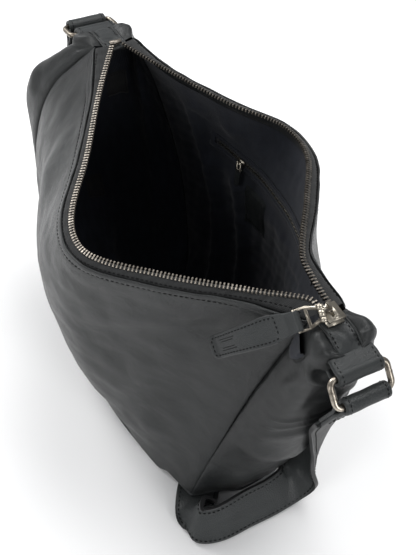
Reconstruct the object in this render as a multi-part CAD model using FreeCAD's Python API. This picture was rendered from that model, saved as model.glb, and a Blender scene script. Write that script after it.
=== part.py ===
"""Hobo bag standing open on its base: leather body, lining, main zip, strap on two rings, inside pocket.

Frame: origin at the middle of the base on the resting plane, +Z up, +X towards the end where the
main zip starts (its slider end), -Y towards the front panel. Millimetres.
"""
import FreeCAD
import Part
import math
import os

Vector = FreeCAD.Vector
os.makedirs("parts", exist_ok=True)

# ---------------------------------------------------------------- driving dimensions
LEATHER = 1.6            # outer leather
LINING = 0.8             # cotton lining
LINING_INSET = 3.3       # outer leather face to the lining's near face
TAPE = 0.7               # woven zip tape
TAPE_INSET = 2.3         # outer leather face to the tape
SEAM_GAP = 0.35          # clearance between neighbouring sewn panels
CORE_HALF = 95           # half length of the spine that the body's walls are inset towards

STRAP_WIDTH = 34
STRAP_LAYER = 1.9        # each of the strap's two leather layers
STRAP_GLUE = 0.1         # space between the two layers

RING_WIRE_R = 2.1
RING_PITCH = 18          # between the centre lines of a ring's two bars
RING_HALF = 20.5          # half length of a ring across the strap
RING_CORNER = 4.5
LOOP_CLEAR = 0.4         # between a ring's wire and the leather loop round it
LOOP_LEATHER = 3.2       # padded leather of the loops round the rings
TAB_HALF = 16.5          # half width of the leather loops
TONGUE = (17, 2.4)       # width and thickness of the strip between a loop and the zip's end
TAIL = (34, 4.4)         # length and thickness of the strap end sewn back on itself

ZIP_TOOTH = (1.3, 2.9, 2.2)      # along the chain, across it, thickness
ZIP_PITCH = 2.6
CHAIN_HALF_GAP = 4.7     # chain root to the mid line where the two rows run into the slider
SLIDER_X = 154           # middle of the main slider
CHAIN_Z = 259.5          # height of the chain at the slider
PULL_LENGTH = 72
PULL_WIDTH = 19
PULL_LEATHER = 3.2

CHANNEL = 9.5            # how far the base arches up over the strap that runs beneath it
CHANNEL_HALF = 22
CHANNEL_FADE = 14
SOLE_TRIM = 0.4          # cut off the base's underside so that it rests on a true plane

# ---------------------------------------------------------------- outlines of the body (outer face)
SEAM_FRONT_RIGHT = [(114, -56, 4), (115, -49, 40), (119, -38, 90), (127, -27, 150), (138, -18, 205),
                    (152, -14, 255)]
SEAM_FRONT_LEFT = [(-112, -68, 4), (-132, -72, 50), (-160, -69, 110), (-178, -62, 165),
                   (-174, -48, 215), (-157, -17, 256)]
SEAM_BACK_RIGHT = [(98, 54, 4), (106, 51, 40), (118, 43, 90), (131, 35, 150), (144, 26, 205),
                   (152, 14, 255)]
SEAM_BACK_LEFT = [(-106, 62, 4), (-122, 66, 50), (-140, 64, 110), (-156, 54, 165), (-162, 38, 215),
                  (-157, 17, 256)]
RIM_FRONT = [(-157, -17, 256), (-113, -40, 246), (-62, -73, 236), (-8, -109, 232), (34, -113, 236),
             (78, -79, 242), (118, -38, 249), (152, -14, 255)]
RIM_BACK = [(-157, 17, 256), (-118, 28, 252), (-60, 58, 248), (-20, 82, 247), (20, 80, 249),
            (64, 52, 253), (108, 18, 257), (152, 14, 255)]
RIM_RIGHT = [(152, -14, 255), (171, -22, 247), (180, 0, 246), (171, 24, 247), (152, 14, 255)]
RIM_LEFT = [(-157, -17, 256), (-178, -26, 248), (-184, 0, 246), (-176, 24, 248), (-157, 17, 256)]
EDGE_FRONT = [(-112, -68, 4), (-60, -76, 2), (0, -76, 2), (60, -68, 2), (114, -56, 4)]
EDGE_BACK = [(-106, 62, 4), (0, 66, 2), (98, 54, 4)]
EDGE_RIGHT = [(114, -56, 4), (123, -18, 2), (117, 26, 2), (98, 54, 4)]
EDGE_LEFT = [(-112, -68, 4), (-124, -20, 2), (-120, 30, 2), (-106, 62, 4)]

# the root line of each row of zip teeth
CHAIN_FRONT = [(-150, -CHAIN_HALF_GAP, 259), (-110, -34, 249), (-58, -67, 240), (-5, -102, 236),
               (32, -106, 240), (73, -73, 246), (112, -33, 253), (131, -12.5, 257.5), (139, -5.6, 259.3),
               (145, -CHAIN_HALF_GAP, CHAIN_Z), (152, -CHAIN_HALF_GAP, CHAIN_Z)]
CHAIN_BACK = [(-150, CHAIN_HALF_GAP, 259), (-115, 22, 255), (-56, 51, 252), (-19, 75, 251),
              (17, 73, 253), (60, 45, 257), (106, 11, 260), (127, 6, 260), (139, 4.8, 259.6),
              (145, CHAIN_HALF_GAP, CHAIN_Z), (152, CHAIN_HALF_GAP, CHAIN_Z)]

# strap below each ring: centre of the band and the direction across it
STRAP_STATIONS = [((184.4, .2, 191.5), (0, 1, 0)), ((180.5, 1.5, 181), (-.05, 1, 0)),
                  ((171.5, 9, 160), (-.22, .96, .05)), ((159, 22, 122), (-.4, .9, .05)),
                  ((144, 38, 72), (-.6, .78, .2)), ((140.5, 38, 44), (-.78, .6, .15)),
                  ((143.8, 23, 22.5), (-.66, .16, .72)), ((146.3, 2, 18), (-.54, .02, .84)),
                  ((147, -22, 17.9), (-.5, 0, .86)), ((148, -50, 17.9), (-.42, 0, .9)),
                  ((142.5, -64.5, 18.3), (-.3, .2, .93)), ((131.5, -63, 17), (.1, .38, .92)),
                  ((121, -55, 9.4), (.5, .8, .32)), ((105, -42.5, 4.4), (.68, .73, 0)),
                  ((70, 0, 4), (.8, .6, 0)), ((30, 55, 4), (.8, .6, 0)), ((0, 96, 5), (.75, .66, 0)),
                  ((-50, 124, 20), (.4, .9, .1)), ((-124, 120, 76), (.1, .99, .1)),
                  ((-182, 84, 126), (0, .99, .05)), ((-209, 36, 162), (0, 1, 0)),
                  ((-213.4, 3, 186), (0, 1, 0)), ((-214, 0, 200), (0, 1, 0))]
CHANNEL_LINE = ((70, 0), (30, 55))       # the strap's middle line under the base

POCKET_V = .745                          # share of the back wall's height where the pocket zip lies
POCKET_U = (.235, .785)                  # its two ends along the wall
POCKET_DEPTH = 5.2                       # outer leather face to the middle of the pocket's zip tape
POCKET_SLIDER_AT = 0.2                   # share of the pocket zip's length where its slider rests
POCKET_TOOTH = 1.1


# ---------------------------------------------------------------- vector and curve helpers
def plus(a, b, k=1.0):
    return tuple(p + k * q for p, q in zip(a, b))


def dot(a, b):
    return sum(p * q for p, q in zip(a, b))


def cross(a, b):
    return (a[1] * b[2] - a[2] * b[1], a[2] * b[0] - a[0] * b[2], a[0] * b[1] - a[1] * b[0])


def unit(a):
    length = math.sqrt(dot(a, a))
    return tuple(p / length for p in a)


def square_to(a, direction):
    """The unit vector nearest to a that is square to direction."""
    direction = unit(direction)
    return unit(plus(a, direction, -dot(a, direction)))


def bump(x, centre, width):
    return math.exp(-((x - centre) / width) ** 2)


def smooth(x):
    x = min(max(x, 0.0), 1.0)
    return x * x * (3 - 2 * x)


def spline(points, t):
    """Point at t (0 to 1) on the smooth curve through points, spaced by chord length."""
    count = len(points)
    reach = [0.0]
    for a, b in zip(points, points[1:]):
        reach.append(reach[-1] + math.dist(a, b))
    x = t * reach[-1]
    k = 0
    while k < count - 2 and x > reach[k + 1]:
        k += 1

    def slope(i):
        lo, hi = max(i - 1, 0), min(i + 1, count - 1)
        span = reach[hi] - reach[lo]
        return tuple((q - p) / span for p, q in zip(points[lo], points[hi]))

    h = reach[k + 1] - reach[k]
    s = (x - reach[k]) / h
    start, leave = 2 * s ** 3 - 3 * s ** 2 + 1, (s ** 3 - 2 * s ** 2 + s) * h
    end, arrive = -2 * s ** 3 + 3 * s ** 2, (s ** 3 - s ** 2) * h
    return tuple(start * p + leave * m + end * q + arrive * n
                 for p, m, q, n in zip(points[k], slope(k), points[k + 1], slope(k + 1)))


def tangent(points, t):
    step = 1e-3
    return unit(plus(spline(points, min(t + step, 1)), spline(points, max(t - step, 0)), -1))


def spread(lo, hi, count):
    return [lo + (hi - lo) * i / (count - 1) for i in range(count)]


# ---------------------------------------------------------------- solid helpers
def knots(poles):
    degree = min(3, poles - 1)
    spans = poles - degree
    return degree, [i / spans for i in range(spans + 1)], [degree + 1] + [1] * (spans - 1) + [degree + 1]


def sheet(rows):
    """One smooth face controlled by rows of points."""
    du, ku, mu = knots(len(rows))
    dv, kv, mv = knots(len(rows[0]))
    surface = Part.BSplineSurface()
    poles = [[Vector(*p) for p in row] for row in rows]
    surface.buildFromPolesMultsKnots(poles, mu, mv, ku, kv, False, False, du, dv)
    return surface.toShape()


def slab(outer, inner):
    """The closed solid between two nets of points of the same size."""
    faces = [sheet(outer), sheet(inner),
             sheet([outer[0], inner[0]]), sheet([outer[-1], inner[-1]]),
             sheet([[r[0] for r in outer], [r[0] for r in inner]]),
             sheet([[r[-1] for r in outer], [r[-1] for r in inner]])]
    shell = Part.makeShell(faces)
    shell.sewShape()
    solid = Part.makeSolid(Part.Shell(shell.Faces))
    if solid.Volume < 0:
        solid.reverse()
    return solid


def brick(centre, x_dir, y_dir, size):
    """A box of size (x, y, z) about centre; y_dir is squared up to x_dir."""
    x_dir = unit(x_dir)
    y_dir = square_to(y_dir, x_dir)
    z_dir = cross(x_dir, y_dir)
    box = Part.makeBox(*size, Vector(-size[0] / 2, -size[1] / 2, -size[2] / 2))
    box.Placement = FreeCAD.Placement(FreeCAD.Matrix(
        x_dir[0], y_dir[0], z_dir[0], centre[0], x_dir[1], y_dir[1], z_dir[1], centre[1],
        x_dir[2], y_dir[2], z_dir[2], centre[2], 0, 0, 0, 1))
    return box


def block(lo, hi):
    """A box between two corners."""
    return Part.makeBox(*plus(hi, lo, -1), Vector(*lo))


def round_bar(start, end, radius):
    along = plus(end, start, -1)
    return Part.makeCylinder(radius, math.sqrt(dot(along, along)), Vector(*start), Vector(*along))


def plate(outline, origin, s_dir, w_dir, thick):
    """A flat plate: outline points (s, w) laid on origin's plane, thickened both ways."""
    normal = cross(w_dir, s_dir)
    points = [plus(plus(plus(origin, s_dir, s), w_dir, w), normal, -thick / 2) for s, w in outline]
    wire = Part.makePolygon([Vector(*p) for p in points + points[:1]])
    return Part.Face(wire).extrude(Vector(*normal) * thick)


def fused(shapes):
    """One solid from touching shapes."""
    joined = shapes[0].multiFuse(shapes[1:])
    return joined.removeSplitter()


def save(name, shape):
    shape.exportStep(f"parts/{name}.step")


# ---------------------------------------------------------------- the body's surfaces
def arch(x, y):
    """Height of the base's underside over the strap's channel."""
    (x0, y0), (x1, y1) = CHANNEL_LINE
    away = abs((x - x0) * (y1 - y0) - (y - y0) * (x1 - x0)) / math.hypot(x1 - x0, y1 - y0)
    return CHANNEL * smooth(1 - (away - CHANNEL_HALF) / CHANNEL_FADE)


def coons(left, right, low, high, u, v):
    """Point on the surface stretched between four edge curves."""
    a, b, c, d = spline(left, v), spline(right, v), spline(low, u), spline(high, u)
    return tuple((1 - u) * a[i] + u * b[i] + (1 - v) * c[i] + v * d[i]
                 - (1 - u) * (1 - v) * low[0][i] - u * (1 - v) * low[-1][i]
                 - (1 - u) * v * high[0][i] - u * v * high[-1][i] for i in range(3))


def lift(p, v):
    """Raises the foot of a wall where the base arches."""
    return (p[0], p[1], p[2] + arch(p[0], p[1]) * max(0.0, 1 - v * 5) ** 2)


def front(u, v):
    p = coons(SEAM_FRONT_LEFT, SEAM_FRONT_RIGHT, EDGE_FRONT, RIM_FRONT, u, v)
    return lift(plus(p, (0, -9 * 16 * u * (1 - u) * v * (1 - v), 0)), v)


def back(u, v):
    p = coons(SEAM_BACK_LEFT, SEAM_BACK_RIGHT, EDGE_BACK, RIM_BACK, u, v)
    belly = 5 * bump(u, .22, .2) * 4 * v * (1 - v) * smooth(u / .15)
    shoulder = 13 * bump(u, .83, .11) * bump(v, .8, .14) * (1 - v ** 8) * smooth((1 - u) / .1)
    hollow = 14 * bump(u, .49, .16) * bump(v, .76, .2) * (1 - v ** 8)
    return lift(plus(p, (0, belly + shoulder - hollow, 0)), v)


def right(u, v):
    p = coons(SEAM_FRONT_RIGHT, SEAM_BACK_RIGHT, EDGE_RIGHT, RIM_RIGHT, u, v)
    fullness = math.sin(math.pi * u) * 4 * v * (1 - v)
    return lift(plus(p, (9 * fullness, 5 * (u - .5) * fullness, 0)), v)


def left(u, v):
    p = coons(SEAM_FRONT_LEFT, SEAM_BACK_LEFT, EDGE_LEFT, RIM_LEFT, u, v)
    fullness = max(math.sin(math.pi * u), 0) ** .6 * (4 * v * (1 - v)) ** .7
    lobe = bump(u, .2, .2) * bump(v, .78, .2) * fullness
    return lift(plus(p, (-12 * fullness - 16 * lobe, 16 * (u - .5) * fullness - 13 * lobe, 0)), v)


def inset(p, distance):
    """p moved level towards the body's spine."""
    x = min(max(p[0], -CORE_HALF), CORE_HALF)
    reach = math.hypot(x - p[0], p[1])
    k = distance / reach
    return (p[0] + (x - p[0]) * k, p[1] - p[1] * k, p[2])


def wall(surface, depth, thick, us=(.003, .997), vs=(0, 1), columns=33, rows=21):
    """A panel that follows a surface over a range of u and v, its outer face depth inside it."""
    us, vs = spread(*us, columns), spread(*vs, rows)
    outer = [[inset(surface(u, v), depth) for u in us] for v in vs]
    inner = [[inset(surface(u, v), depth + thick) for u in us] for v in vs]
    return slab(outer, inner)


def floor_panel(depth, height, thick, rows=33):
    """A bottom panel inside the body's edge curves, over the strap's channel."""
    def at(u, v, z):
        p = coons(EDGE_LEFT, EDGE_RIGHT, EDGE_FRONT, EDGE_BACK, u, v)
        x, y = p[0] * (1 - depth / 115), p[1] * (1 - depth / 66)
        return (x, y, z + arch(x, y))
    us = spread(0, 1, rows)
    return slab([[at(u, v, height) for u in us] for v in us],
                [[at(u, v, height + thick) for u in us] for v in us])


# ---------------------------------------------------------------- body panels
def body_panels():
    save("front_panel", wall(front, 0, LEATHER))
    save("back_panel", wall(back, 0, LEATHER))
    save("gusset_right", wall(right, 0, LEATHER, us=(.006, .994)))
    save("gusset_left", wall(left, 0, LEATHER, us=(.006, .994)))
    sole = floor_panel(1.8, -SOLE_TRIM, LEATHER + SOLE_TRIM)
    save("base_panel", sole.cut(block((-200, -150, -10), (200, 150, 0))))


def lining_panels():
    top = .945
    foot = .035
    save("lining_front", wall(front, LINING_INSET, LINING, vs=(foot, top)))
    save("lining_back", wall(back, LINING_INSET, LINING, vs=(foot, top)))
    save("lining_gusset_right", wall(right, LINING_INSET, LINING, us=(.01, .99), vs=(foot, top)))
    save("lining_gusset_left", wall(left, LINING_INSET, LINING, us=(.01, .99), vs=(foot, top)))
    save("lining_base", floor_panel(LINING_INSET + 2, 3.2, LINING))


# ---------------------------------------------------------------- main zip
def tape(surface, chain):
    """Woven tape sewn inside the rim, turning in over the mouth to the root of the teeth."""
    outer, inner = [[], [], []], [[], [], []]
    for u in spread(.004, .996, 33):
        low, rim, root = surface(u, .965), surface(u, 1), spline(chain, u)
        outer[0].append(inset(low, TAPE_INSET))
        inner[0].append(inset(low, TAPE_INSET + TAPE))
        outer[1].append(plus(inset(rim, TAPE_INSET), (0, 0, .6)))
        inner[1].append(plus(inset(rim, TAPE_INSET + TAPE), (0, 0, -.1)))
        outer[2].append(plus(root, (0, 0, TAPE / 2)))
        inner[2].append(plus(root, (0, 0, -TAPE / 2)))
    return slab(outer, inner)


def teeth(surface, chain):
    """One row of teeth along the tape's edge, reaching into the mouth."""
    length = sum(math.dist(a, b) for a, b in zip(chain, chain[1:]))
    row = []
    for t in spread(.006, .994, int(length / ZIP_PITCH)):
        root = spline(chain, t)
        away = plus(root, inset(surface(t, 1), TAPE_INSET), -1)
        rise = .35 * math.hypot(away[0], away[1]) * smooth((125 - root[0]) / 30)
        across = square_to((away[0], away[1], rise), tangent(chain, t))
        centre = plus(root, across, .15 + ZIP_TOOTH[1] / 2)
        row.append(brick(centre, tangent(chain, t), across, ZIP_TOOTH))
    return Part.makeCompound(row)


def main_zip():
    save("zip_tape_front", tape(front, CHAIN_FRONT))
    save("zip_tape_back", tape(back, CHAIN_BACK))
    save("zip_teeth_front", teeth(front, CHAIN_FRONT))
    save("zip_teeth_back", teeth(back, CHAIN_BACK))
    x_end, x_foot, z_foot = CHAIN_FRONT[-1][0], CHAIN_FRONT[0][0], CHAIN_FRONT[0][2]
    stops = [block((x_end + 1, side * 3 - .9, CHAIN_Z - 1.2), (x_end + 2.6, side * 3 + .9, CHAIN_Z + 1.2))
             for side in (-1, 1)]
    foot = block((x_foot - 4, -4.8, z_foot - 1.4), (x_foot - .8, 4.8, z_foot + 1.4))
    save("zip_end_stops", Part.makeCompound(stops + [foot]))


# ---------------------------------------------------------------- main slider, puller and leather pull
SLIDER_HALF = (6.5, 5.9)                 # half length, half width
PLATE = 1.3
CHANNEL_IN = 1.6                         # chain plane to each plate's inner face
PIN_R = 1.1
PIN_CLEAR = .07
PULLER_THICK = 1.8
PIVOT = (155, -8.8, 266.5)               # middle of the pin that the puller turns on
HANG = unit((-.499, -.499, -.709))       # the way the leather pull hangs at rest
ACROSS = square_to((-.66, .17, .73), HANG)
OUTWARD = cross(ACROSS, HANG)            # away from the front panel
PULLER_DIR = unit(plus(tuple(c * math.cos(math.radians(20)) for c in HANG),
                       OUTWARD, math.sin(math.radians(20))))
PULL_DIR = unit(plus(tuple(c * math.cos(math.radians(3.5)) for c in HANG),
                     OUTWARD, -math.sin(math.radians(3.5))))
PULLER_REACH = 16.2                      # pivot to the bar that holds the leather pull
BAR_R = 1.15


def slider():
    half_x, half_y = SLIDER_HALF
    x0, x1 = SLIDER_X - half_x, SLIDER_X + half_x
    top, low = CHAIN_Z + CHANNEL_IN, CHAIN_Z - CHANNEL_IN
    plate_top = top + PLATE
    parts = [block((x0, -half_y, top), (x1, half_y, plate_top)),
             block((x0, -half_y, low - PLATE), (x1, half_y, low)),
             block((x0, -.8, low - .1), (x0 + 3, .8, top + .1))]
    for side in (-1, 1):
        y0, y1 = sorted((side * 4.9, side * half_y))
        parts.append(block((x0, y0, CHAIN_Z + .8), (x1, y1, top + .1)))
    arch_top = plate_top + 3.4
    parts.append(block((x0 + 1, -1.4, arch_top - 1.3), (x1 - 1, 1.4, arch_top)))
    for x in (x0 + 1, x1 - 2.5):
        parts.append(block((x, -1.4, plate_top - .2), (x + 1.5, 1.4, arch_top)))
    parts.append(round_bar((SLIDER_X, -1.0, arch_top - 1.2), PIVOT, 1.3))
    parts.append(round_bar(plus(PIVOT, ACROSS, -2.1), plus(PIVOT, ACROSS, 2.1), 2.1))
    parts.append(round_bar(plus(PIVOT, ACROSS, -5.6), plus(PIVOT, ACROSS, 5.6), PIN_R))
    return fused(parts)


def on_bar(half, radius):
    """A round bar on the axis that the leather pull turns on."""
    bar = plus(PIVOT, PULLER_DIR, PULLER_REACH)
    return round_bar(plus(bar, ACROSS, -half), plus(bar, ACROSS, half), radius)


def puller():
    """Stirrup: two knuckles on the pin, a cross bar, and a round outer bar for the leather pull."""
    def in_plane(outline):
        return plate(outline, PIVOT, PULLER_DIR, ACROSS, PULLER_THICK)
    parts = [in_plane([(3, -5.5), (8.8, -7.3), (16, -7.3), (16, 7.3), (8.8, 7.3), (3, 5.5)])]
    for side in (-1, 1):
        parts.append(in_plane([(0, side * 2.6), (3.4, side * 2.6), (3.4, side * 5.5), (0, side * 5.5)]))
        parts.append(round_bar(plus(PIVOT, ACROSS, side * 2.5), plus(PIVOT, ACROSS, side * 5.5), 2.1))
    body = fused(parts)
    body = body.cut(in_plane([(2.0, -2.5), (8.0, -4.9), (8.0, 4.9), (2.0, 2.5)]))
    body = body.cut(in_plane([(9.8, -5.8), (17, -5.8), (17, 5.8), (9.8, 5.8)]))
    body = fused([body, on_bar(7.3, BAR_R)])
    return body.cut(round_bar(plus(PIVOT, ACROSS, -6), plus(PIVOT, ACROSS, 6), PIN_R + PIN_CLEAR))


def leather_pull():
    """Two glued leather layers as one strip that arches out over the rim, folded round the outer bar."""
    bar = plus(PIVOT, PULLER_DIR, PULLER_REACH)
    normal = cross(ACROSS, PULL_DIR)
    neck = 2.0                                   # where the strip leaves the fold round the bar
    fold_r = BAR_R + .15 + PULL_LEATHER / 2

    def net(side):
        rows = []
        for s in spread(neck, PULL_LENGTH, 13):
            share = (s - neck) / (PULL_LENGTH - neck)
            half = PULL_WIDTH / 2 * (1 - .18 * smooth(share)) * (1 - .3 * smooth(1 - share / .3))
            half *= 1 - .45 * smooth((share - .92) / .08)
            out = 4.5 * math.sin(math.pi * min(share * 1.1, 1)) + side * PULL_LEATHER / 2
            centre = plus(plus(bar, PULL_DIR, s), normal, out)
            rows.append([plus(centre, ACROSS, w) for w in spread(-half, half, 5)])
        return rows
    strip = fused([slab(net(1), net(-1)), on_bar(5.5, fold_r)])
    return strip.cut(on_bar(20, BAR_R + .15))


def main_pull():
    save("zip_slider", slider())
    save("zip_puller", puller())
    save("leather_pull", leather_pull())


# ---------------------------------------------------------------- rings, their tabs and the strap
class End:
    """One end of the bag: side is +1 at the slider end, -1 at the other."""
    def __init__(self, name, side, bar_x, tilt, tail_dir):
        self.name, self.side = name, side
        self.bar = (bar_x, 0, 244.5)
        angle = math.radians(tilt)
        self.ring_dir = (side * math.cos(angle), 0, math.sin(angle))
        self.strap_bar = plus(self.bar, self.ring_dir, RING_PITCH)
        self.tail_dir = unit(tail_dir)


ENDS = [End("right", 1, 187, -46, (-.35, 0, -.94)), End("left", -1, -193, -10, (-.12, 0, -.99))]
LOOP_IN = RING_WIRE_R + LOOP_CLEAR
LOOP_OUT = LOOP_IN + LOOP_LEATHER


def ring(end):
    """A rounded rectangular ring: path of straights and corner arcs, swept with a round wire."""
    flat, corner = RING_HALF - RING_CORNER, RING_CORNER
    diagonal = corner * (1 - math.sqrt(.5))

    def at(y, s):
        return Vector(*plus((end.bar[0], y, end.bar[2]), end.ring_dir, s))
    far, top = RING_HALF, RING_PITCH
    edges = [Part.LineSegment(at(-flat, 0), at(flat, 0)),
             Part.Arc(at(flat, 0), at(far - diagonal, diagonal), at(far, corner)),
             Part.LineSegment(at(far, corner), at(far, top - corner)),
             Part.Arc(at(far, top - corner), at(far - diagonal, top - diagonal), at(flat, top)),
             Part.LineSegment(at(flat, top), at(-flat, top)),
             Part.Arc(at(-flat, top), at(-far + diagonal, top - diagonal), at(-far, top - corner)),
             Part.LineSegment(at(-far, top - corner), at(-far, corner)),
             Part.Arc(at(-far, corner), at(-far + diagonal, diagonal), at(-flat, 0))]
    path = Part.Wire([e.toShape() for e in edges])
    profile = Part.Wire(Part.makeCircle(RING_WIRE_R, at(-flat, 0), Vector(0, 1, 0)))
    swept = path.makePipeShell([profile], True, False)
    return swept if swept.ShapeType == "Solid" else Part.makeSolid(swept)


def sleeve(bar, half):
    """A leather tube round a ring's bar, before its bore is cut."""
    return Part.makeCylinder(LOOP_OUT, 2 * half, Vector(bar[0], -half, bar[2]), Vector(0, 1, 0))


def bore(bar):
    return Part.makeCylinder(LOOP_IN, 60, Vector(bar[0], -30, bar[2]), Vector(0, 1, 0))


def ring_tab(end):
    """The end strip: from beside the zip's end out over the gusset's top to the loop round the ring."""
    x, z = end.bar[0], end.bar[2]
    inner_x = 162 if end.side > 0 else -157
    width, thick = TONGUE
    strip = [(inner_x, 255.5), (x, z + LOOP_OUT - thick), (x, z + LOOP_OUT), (inner_x, 255.5 + thick)]
    wire = Part.makePolygon([Vector(px, -width / 2, pz) for px, pz in strip + strip[:1]])
    body = fused([sleeve(end.bar, TAB_HALF), Part.Face(wire).extrude(Vector(0, width, 0))])
    return body.cut(bore(end.bar))


def strap_end(end):
    """The strap's end, folded round the ring's far bar and sewn back on itself."""
    half = STRAP_WIDTH / 2 - .5
    length, thick = TAIL
    middle = plus(end.strap_bar, end.tail_dir, LOOP_IN + .8 + length / 2)
    tail = brick(middle, end.tail_dir, (0, 1, 0), (length, 2 * half, thick))
    return fused([sleeve(end.strap_bar, half), tail]).cut(bore(end.strap_bar))


def strap_layer(near, far):
    """One leather layer of the strap, between two offsets from the band's middle surface."""
    frames = [centre + tuple(9 * c for c in unit(across)) for centre, across in STRAP_STATIONS]
    samples = 91
    middles = [spline(frames, t)[:3] for t in spread(0, 1, samples)]
    widths = [unit(spline(frames, t)[3:]) for t in spread(0, 1, samples)]
    nets = []
    for offset in (near, far):
        net = []
        for i in range(samples):
            along = plus(middles[min(i + 1, samples - 1)], middles[max(i - 1, 0)], -1)
            across = square_to(widths[i], along)
            centre = plus(middles[i], cross(across, unit(along)), offset)
            net.append([plus(centre, across, w) for w in spread(-STRAP_WIDTH / 2, STRAP_WIDTH / 2, 4)])
        nets.append(net)
    return slab(*nets)


def strap_and_rings():
    for end in ENDS:
        save(f"ring_{end.name}", ring(end))
        save(f"ring_tab_{end.name}", ring_tab(end))
        save(f"strap_end_{end.name}", strap_end(end))
    save("strap_outer", strap_layer(STRAP_GLUE / 2, STRAP_GLUE / 2 + STRAP_LAYER))
    save("strap_backing", strap_layer(-STRAP_GLUE / 2, -STRAP_GLUE / 2 - STRAP_LAYER))


# ---------------------------------------------------------------- inside pocket, patches
def pocket_at(share, out=0.0, up=0.0):
    """A point by the pocket zip's middle line, with the zip's running and inward directions."""
    def on_line(t):
        u = POCKET_U[0] + (POCKET_U[1] - POCKET_U[0]) * t
        return inset(back(u, POCKET_V), POCKET_DEPTH)
    along = unit(plus(on_line(share + .01), on_line(share - .01), -1))
    inward = unit(cross(along, (0, 0, 1)))
    return plus(plus(on_line(share), inward, out), (0, 0, 1), up), along, inward


def pocket_bar(share, s, out, up, size):
    """A block of size (along, high, thick) beside the pocket zip, s along from a share of its length."""
    centre, along, inward = pocket_at(share, out, up)
    return brick(plus(centre, along, s), along, (0, 0, 1), size)


def inside_pocket():
    u0, u1 = POCKET_U
    high = .033                                      # half of the welt's height, as a share of the wall's
    welt = wall(back, POCKET_DEPTH - .4, .8, (u0 - .02, u1 + .02), (POCKET_V - high, POCKET_V + high), 23, 3)
    window = wall(back, POCKET_DEPTH - 2, 4, (u0, u1), (POCKET_V - .0125, POCKET_V + .0125), 23, 3)
    save("pocket_welt", welt.cut(window))
    save("pocket_tape", Part.makeCompound([
        wall(back, POCKET_DEPTH - .3, .6, (u0 + .002, u1 - .002), (POCKET_V + lo, POCKET_V + hi), 23, 3)
        for lo, hi in ((-.0113, -.004), (.004, .0113))]))
    length = math.dist(pocket_at(0)[0], pocket_at(1)[0])
    save("pocket_teeth", Part.makeCompound([
        pocket_bar(share, 0, .1, side * .45, (POCKET_TOOTH, .7, 1.1))
        for share in spread(.03, .97, int(length / (2.1 * POCKET_TOOTH))) for side in (-1, 1)]))
    rest = POCKET_SLIDER_AT
    lug, along, _ = pocket_at(rest, 4.2)
    save("pocket_slider", fused([pocket_bar(rest, 0, 1.7, 0, (7.2, 5.6, 1.0)),
                                 pocket_bar(rest, 0, 3.0, 0, (1.8, 1.8, 2.8)),
                                 round_bar(plus(lug, along, -2.6), plus(lug, along, 2.6), .5)]))
    ears = [pocket_bar(rest, side * 1.9, 4.2, -2.0, (1.4, 7.4, 1.9)) for side in (-1, 1)]
    ears.append(pocket_bar(rest, 0, 4.2, -6.2, (5.2, 1.6, 1.9)))
    hole = round_bar(plus(lug, along, -4), plus(lug, along, 4), .56)
    save("pocket_puller", fused(ears).cut(hole))
    save("pocket_pull", pocket_bar(rest, 0, 4.2, -15.4, (6, 15.6, 1.4)))
    save("pocket_bag", wall(back, 2.1, .8, us=(.24, .72), vs=(.28, .72), columns=17, rows=11))


def patches():
    save("leather_patch", wall(back, 4.6, 1.2, us=(.36, .46), vs=(.5, .66), columns=5, rows=5))
    save("care_label", wall(left, 4.6, .4, us=(.38, .48), vs=(.34, .42), columns=5, rows=5))
    save("corner_patch", wall(left, 4.6, 1.0, us=(.60, .72), vs=(.70, .80), columns=5, rows=5))


body_panels()
lining_panels()
main_zip()
main_pull()
strap_and_rings()
inside_pocket()
patches()
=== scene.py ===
import math

import bmesh
import bpy
import numpy as np
from mathutils import Matrix, Vector


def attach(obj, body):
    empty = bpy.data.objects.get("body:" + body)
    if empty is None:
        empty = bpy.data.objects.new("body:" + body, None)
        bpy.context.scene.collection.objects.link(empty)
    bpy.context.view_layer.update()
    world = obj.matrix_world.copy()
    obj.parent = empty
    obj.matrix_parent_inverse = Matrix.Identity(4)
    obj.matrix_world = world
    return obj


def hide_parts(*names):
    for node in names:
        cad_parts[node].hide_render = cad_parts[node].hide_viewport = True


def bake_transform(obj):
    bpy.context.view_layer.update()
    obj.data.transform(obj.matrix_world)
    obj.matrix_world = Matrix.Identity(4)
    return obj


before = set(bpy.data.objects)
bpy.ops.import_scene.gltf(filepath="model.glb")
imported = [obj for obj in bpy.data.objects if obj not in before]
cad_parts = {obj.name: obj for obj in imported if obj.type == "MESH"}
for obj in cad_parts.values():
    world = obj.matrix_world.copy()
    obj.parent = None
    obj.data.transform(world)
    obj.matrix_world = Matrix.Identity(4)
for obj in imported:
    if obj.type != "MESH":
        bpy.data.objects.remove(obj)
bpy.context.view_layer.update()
scene = bpy.context.scene

# Looks of the hobo bag. Sizes are millimetres in the frame of the CAD part; meshes are made in metres.
MM = 0.001

# ---- driving sizes
SEAM_IN = 3.2  # how far a panel's edge turns in at a seam
HEM = 1.3  # radius of the turned rim
TAPE_IN = 2.3
LINING_IN = 3.7
CORE_HALF = 95
CHAIN_HALF_GAP = 4.7
CHAIN_Z = 259.5
ZIP_PITCH = 2.6
CHANNEL, CHANNEL_HALF, CHANNEL_FADE = 9.5, 22, 14
CHANNEL_LINE = ((70, 0), (30, 55))
STRAP_WIDTH, STRAP_LAYER, STRAP_GLUE = 34, 1.9, 0.1
STITCH_SINK = 0.05
CORNERS = ((-1, -1), (1, -1), (1, 1), (-1, 1))

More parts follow.
